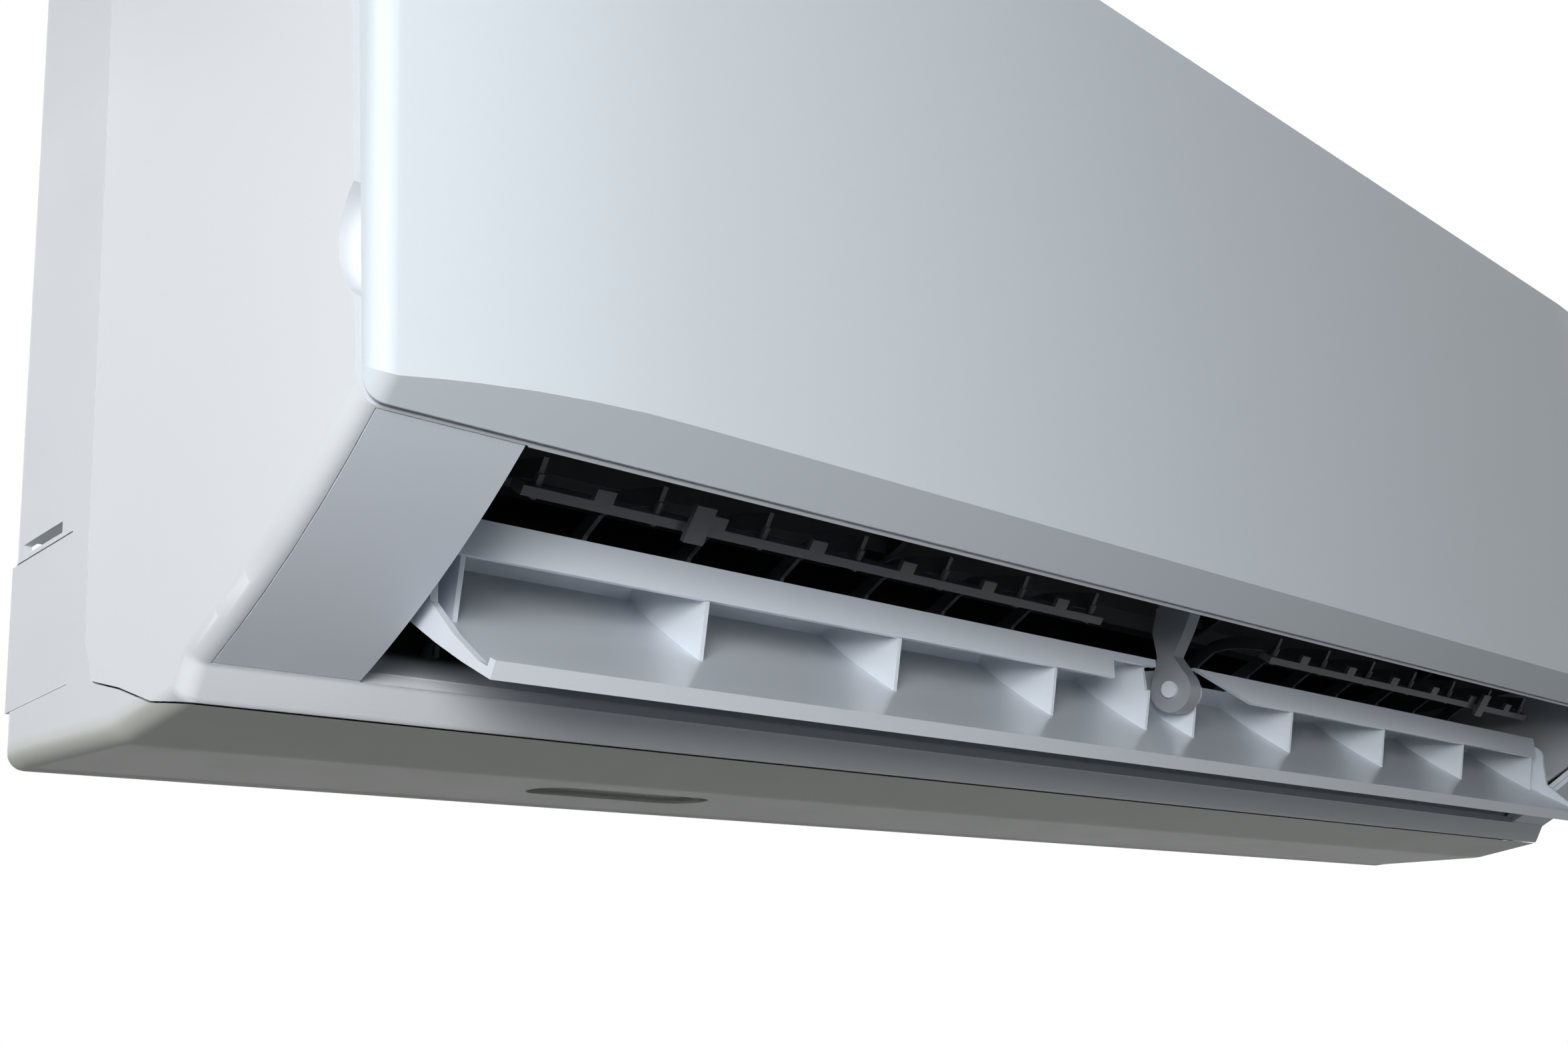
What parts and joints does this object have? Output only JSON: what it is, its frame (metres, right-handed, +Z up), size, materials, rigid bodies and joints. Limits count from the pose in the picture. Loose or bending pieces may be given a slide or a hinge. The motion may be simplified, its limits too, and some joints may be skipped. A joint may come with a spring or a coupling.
{
  "type": "mini split indoor unit",
  "caption": "Wall-hung indoor unit with a hinged front panel, an open ribbed air louver, swinging guide vanes, a cross-flow fan and a wall plate.",
  "frame": {"origin": "centre of the mounting plate's back face, on the wall", "axes": "+Z up, +Y into the wall, X along the wall with +X to the right for someone who faces the unit"},
  "size_m": [0.845, 0.2086, 0.2889],
  "materials": {
    "panel_white": "gloss",
    "case_white": "satin",
    "trim_white": "satin",
    "chassis_white": "satin",
    "duct_grey": "satin",
    "louver_white": "gloss",
    "vane_grey": "satin",
    "fan_dark": "matte",
    "galvanised": "zinc coated",
    "motor_case": "satin",
    "stepper_case": "zinc coated",
    "steel_shaft": "ground",
    "screw_steel": "zinc coated",
    "rubber_dark": "matte",
    "coil_fins": "bare fins",
    "filter_mesh": "matte",
    "box_white": "matte",
    "board_green": "satin",
    "terminal_dark": "matte",
    "button_white": "satin",
    "copper": "drawn copper",
    "brass_nut": "machined"
  },
  "bodies": {
    "unit": {"front_case": "case_white", "left_end_trim": "trim_white", "right_end_trim": "trim_white", "rear_chassis": "chassis_white", "left_pipe_cover": "chassis_white", "right_pipe_cover": "chassis_white", "drain_pan": "duct_grey", "louver_arm": "duct_grey", "mounting_plate": "galvanised", "motor_clamp": "galvanised", "fan_motor": "motor_case", "louver_motor": "stepper_case", "case_screws": "screw_steel", "fan_bearing": "rubber_dark", "drain_plug": "rubber_dark", "coil_lower": "coil_fins", "coil_upper": "coil_fins", "coil_rear": "coil_fins", "left_air_filter": "filter_mesh", "right_air_filter": "filter_mesh", "control_box": "box_white", "control_cover": "box_white", "display_board": "box_white", "room_sensor": "box_white", "pipe_clamp": "box_white", "drain_outlet": "box_white", "control_board": "board_green", "terminal_block": "terminal_dark", "gas_pipe": "copper", "liquid_pipe": "copper", "gas_nut": "brass_nut", "liquid_nut": "brass_nut"},
    "panel": {"front_panel": "panel_white"},
    "louver": {"louver": "louver_white"},
    "fan": {"cross_flow_fan": "fan_dark", "fan_stub_shaft": "steel_shaft", "motor_shaft": "steel_shaft"},
    "button": {"switch_button": "button_white"},
    "left_vane_1": {"left_vane_1": "vane_grey"},
    "left_vane_2": {"left_vane_2": "vane_grey"},
    "left_vane_3": {"left_vane_3": "vane_grey"},
    "left_vane_4": {"left_vane_4": "vane_grey"},
    "left_vane_5": {"left_vane_5": "vane_grey"},
    "left_vane_6": {"left_vane_6": "vane_grey"},
    "left_vane_7": {"left_vane_7": "vane_grey"},
    "left_link_bar": {"left_link_bar": "vane_grey"},
    "right_vane_1": {"right_vane_1": "vane_grey"},
    "right_vane_2": {"right_vane_2": "vane_grey"},
    "right_vane_3": {"right_vane_3": "vane_grey"},
    "right_vane_4": {"right_vane_4": "vane_grey"},
    "right_vane_5": {"right_vane_5": "vane_grey"},
    "right_vane_6": {"right_vane_6": "vane_grey"},
    "right_vane_7": {"right_vane_7": "vane_grey"},
    "right_link_bar": {"right_link_bar": "vane_grey"}
  },
  "joints": [
    {"name": "panel_hinge", "type": "hinge", "parent": "unit", "child": "panel", "pos_m": [0, -0.191, 0.1015], "axis": [-1, 0, 0], "range_deg": [0, 65]},
    {"name": "louver_pivot", "type": "hinge", "parent": "unit", "child": "louver", "pos_m": [0, -0.133, -0.135], "axis": [1, 0, 0], "range_deg": [-68, 8]},
    {"name": "fan_spin", "type": "hinge", "parent": "unit", "child": "fan", "pos_m": [0, -0.098, -0.052], "axis": [1, 0, 0], "continuous": true},
    {"name": "button_press", "type": "slide", "parent": "unit", "child": "button", "axis": [0, 1, 0], "range_m": [0, 0.0015], "stiffness_N_per_m": 400},
    {"name": "left_vane_1_turn", "type": "hinge", "parent": "unit", "child": "left_vane_1", "pos_m": [-0.07, -0.086, -0.1488], "axis": [0, -0.6428, 0.766], "range_deg": [-18, 42]},
    {"name": "left_vane_2_turn", "type": "hinge", "parent": "unit", "child": "left_vane_2", "pos_m": [-0.114, -0.086, -0.1488], "axis": [0, -0.6428, 0.766], "range_deg": [-18, 42]},
    {"name": "left_vane_3_turn", "type": "hinge", "parent": "unit", "child": "left_vane_3", "pos_m": [-0.158, -0.086, -0.1488], "axis": [0, -0.6428, 0.766], "range_deg": [-18, 42]},
    {"name": "left_vane_4_turn", "type": "hinge", "parent": "unit", "child": "left_vane_4", "pos_m": [-0.202, -0.086, -0.1488], "axis": [0, -0.6428, 0.766], "range_deg": [-18, 42]},
    {"name": "left_vane_5_turn", "type": "hinge", "parent": "unit", "child": "left_vane_5", "pos_m": [-0.246, -0.086, -0.1488], "axis": [0, -0.6428, 0.766], "range_deg": [-18, 42]},
    {"name": "left_vane_6_turn", "type": "hinge", "parent": "unit", "child": "left_vane_6", "pos_m": [-0.29, -0.086, -0.1488], "axis": [0, -0.6428, 0.766], "range_deg": [-18, 42]},
    {"name": "left_vane_7_turn", "type": "hinge", "parent": "unit", "child": "left_vane_7", "pos_m": [-0.334, -0.086, -0.1488], "axis": [0, -0.6428, 0.766], "range_deg": [-18, 42]},
    {"name": "left_bar_pivot", "type": "hinge", "parent": "left_vane_1", "child": "left_link_bar", "pos_m": [-0.07505, -0.14438, -0.1162], "axis": [0, -0.6428, 0.766], "range_deg": [-42, 18]},
    {"name": "right_vane_1_turn", "type": "hinge", "parent": "unit", "child": "right_vane_1", "pos_m": [0.07, -0.086, -0.1488], "axis": [0, -0.6428, 0.766], "range_deg": [-18, 42]},
    {"name": "right_vane_2_turn", "type": "hinge", "parent": "unit", "child": "right_vane_2", "pos_m": [0.114, -0.086, -0.1488], "axis": [0, -0.6428, 0.766], "range_deg": [-18, 42]},
    {"name": "right_vane_3_turn", "type": "hinge", "parent": "unit", "child": "right_vane_3", "pos_m": [0.158, -0.086, -0.1488], "axis": [0, -0.6428, 0.766], "range_deg": [-18, 42]},
    {"name": "right_vane_4_turn", "type": "hinge", "parent": "unit", "child": "right_vane_4", "pos_m": [0.202, -0.086, -0.1488], "axis": [0, -0.6428, 0.766], "range_deg": [-18, 42]},
    {"name": "right_vane_5_turn", "type": "hinge", "parent": "unit", "child": "right_vane_5", "pos_m": [0.246, -0.086, -0.1488], "axis": [0, -0.6428, 0.766], "range_deg": [-18, 42]},
    {"name": "right_vane_6_turn", "type": "hinge", "parent": "unit", "child": "right_vane_6", "pos_m": [0.29, -0.086, -0.1488], "axis": [0, -0.6428, 0.766], "range_deg": [-18, 42]},
    {"name": "right_vane_7_turn", "type": "hinge", "parent": "unit", "child": "right_vane_7", "pos_m": [0.334, -0.086, -0.1488], "axis": [0, -0.6428, 0.766], "range_deg": [-18, 42]},
    {"name": "right_bar_pivot", "type": "hinge", "parent": "right_vane_1", "child": "right_link_bar", "pos_m": [0.06495, -0.14438, -0.1162], "axis": [0, -0.6428, 0.766], "range_deg": [-42, 18]}
  ],
  "couplings": [
    {"joint": "left_vane_2_turn", "follows": "left_vane_1_turn", "ratio": 1},
    {"joint": "left_vane_3_turn", "follows": "left_vane_1_turn", "ratio": 1},
    {"joint": "left_vane_4_turn", "follows": "left_vane_1_turn", "ratio": 1},
    {"joint": "left_vane_5_turn", "follows": "left_vane_1_turn", "ratio": 1},
    {"joint": "left_vane_6_turn", "follows": "left_vane_1_turn", "ratio": 1},
    {"joint": "left_vane_7_turn", "follows": "left_vane_1_turn", "ratio": 1},
    {"joint": "left_bar_pivot", "follows": "left_vane_1_turn", "ratio": -1},
    {"joint": "right_vane_2_turn", "follows": "right_vane_1_turn", "ratio": 1},
    {"joint": "right_vane_3_turn", "follows": "right_vane_1_turn", "ratio": 1},
    {"joint": "right_vane_4_turn", "follows": "right_vane_1_turn", "ratio": 1},
    {"joint": "right_vane_5_turn", "follows": "right_vane_1_turn", "ratio": 1},
    {"joint": "right_vane_6_turn", "follows": "right_vane_1_turn", "ratio": 1},
    {"joint": "right_vane_7_turn", "follows": "right_vane_1_turn", "ratio": 1},
    {"joint": "right_bar_pivot", "follows": "right_vane_1_turn", "ratio": -1}
  ]
}
